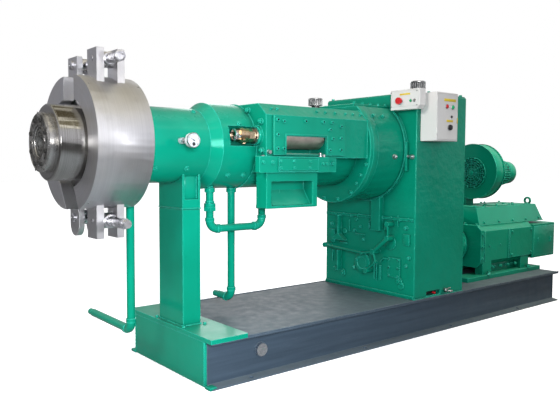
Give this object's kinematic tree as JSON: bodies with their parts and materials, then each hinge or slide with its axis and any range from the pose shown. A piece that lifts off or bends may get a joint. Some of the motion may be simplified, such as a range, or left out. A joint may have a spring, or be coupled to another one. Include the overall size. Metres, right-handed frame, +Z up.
{
  "type": "hot feed rubber extruder",
  "caption": "Hot feed rubber extruder: split clamp head and jacketed barrel on a post, side feed roll housing, tall gear case, drive motor with cooling blower, all on a beam base.",
  "frame": {"origin": "centre of the underside of the base, under the middle cross channel", "axes": "+X from the die towards the drive motor, +Z up, +Y away from the feed window side"},
  "size_m": [4.055, 1.009, 1.593],
  "materials": {
    "green_enamel": "gloss teal green enamel over castings and plate, a little orange peel",
    "base_paint": "semi gloss blue grey primer on rolled steel, dusty on top",
    "brushed_ring": "turned and brushed steel, light oil stain",
    "bright_steel": "ground steel, bright edges",
    "turned_steel": "bright turned steel with fine rings",
    "oxidised_steel": "dark heat tinted steel with rubber residue",
    "roll_steel": "worn hard faced roll, brownish residue",
    "union_brass": "machined brass, dull",
    "zinc_plate": "zinc plated sheet steel",
    "box_paint": "satin warm grey powder coat",
    "stop_red": "gloss red push button",
    "gauge_face": "bright rim and white dial"
  },
  "bodies": {
    "machine": {"base_beam_near": "base_paint", "base_beam_far": "base_paint", "base_cross_members": "base_paint", "deck_plate": "base_paint", "rear_end_plate": "base_paint", "front_end_plate": "green_enamel", "lifting_bar": "bright_steel", "post_foot_plate": "green_enamel", "front_post": "green_enamel", "barrel_saddle": "green_enamel", "barrel_front": "green_enamel", "barrel_rear": "green_enamel", "clamp_ring_near": "brushed_ring", "clamp_ring_far": "brushed_ring", "clamp_screw_upper": "bright_steel", "clamp_screw_lower": "bright_steel", "die_body": "turned_steel", "die_nose": "oxidised_steel", "feed_box": "green_enamel", "feed_cover": "green_enamel", "feed_sill": "green_enamel", "sill_panel": "green_enamel", "discharge_chute": "green_enamel", "rotary_union": "union_brass", "breather_caps": "zinc_plate", "neck": "green_enamel", "neck_cover": "green_enamel", "gear_case": "green_enamel", "case_front_ribs": "green_enamel", "case_oil_pipes": "green_enamel", "control_box_side": "box_paint", "control_box_front": "box_paint", "stop_button": "stop_red", "dial_thermometer": "gauge_face", "coupling_guard": "green_enamel", "motor_sub_base": "green_enamel", "motor_frame": "green_enamel", "motor_end_box": "green_enamel", "motor_top_cover": "green_enamel", "blower_scroll": "green_enamel", "blower_motor": "green_enamel", "water_pipe_front": "green_enamel", "water_pipe_rear": "green_enamel", "crossover_pipe": "green_enamel"},
    "feed_roll": {"feed_roll": "roll_steel"}
  },
  "joints": [
    {"name": "feed_roll_spin", "type": "hinge", "parent": "machine", "child": "feed_roll", "pos_m": [-0.9365, -0.225, 1.196], "axis": [1, 0, 0], "continuous": true}
  ]
}
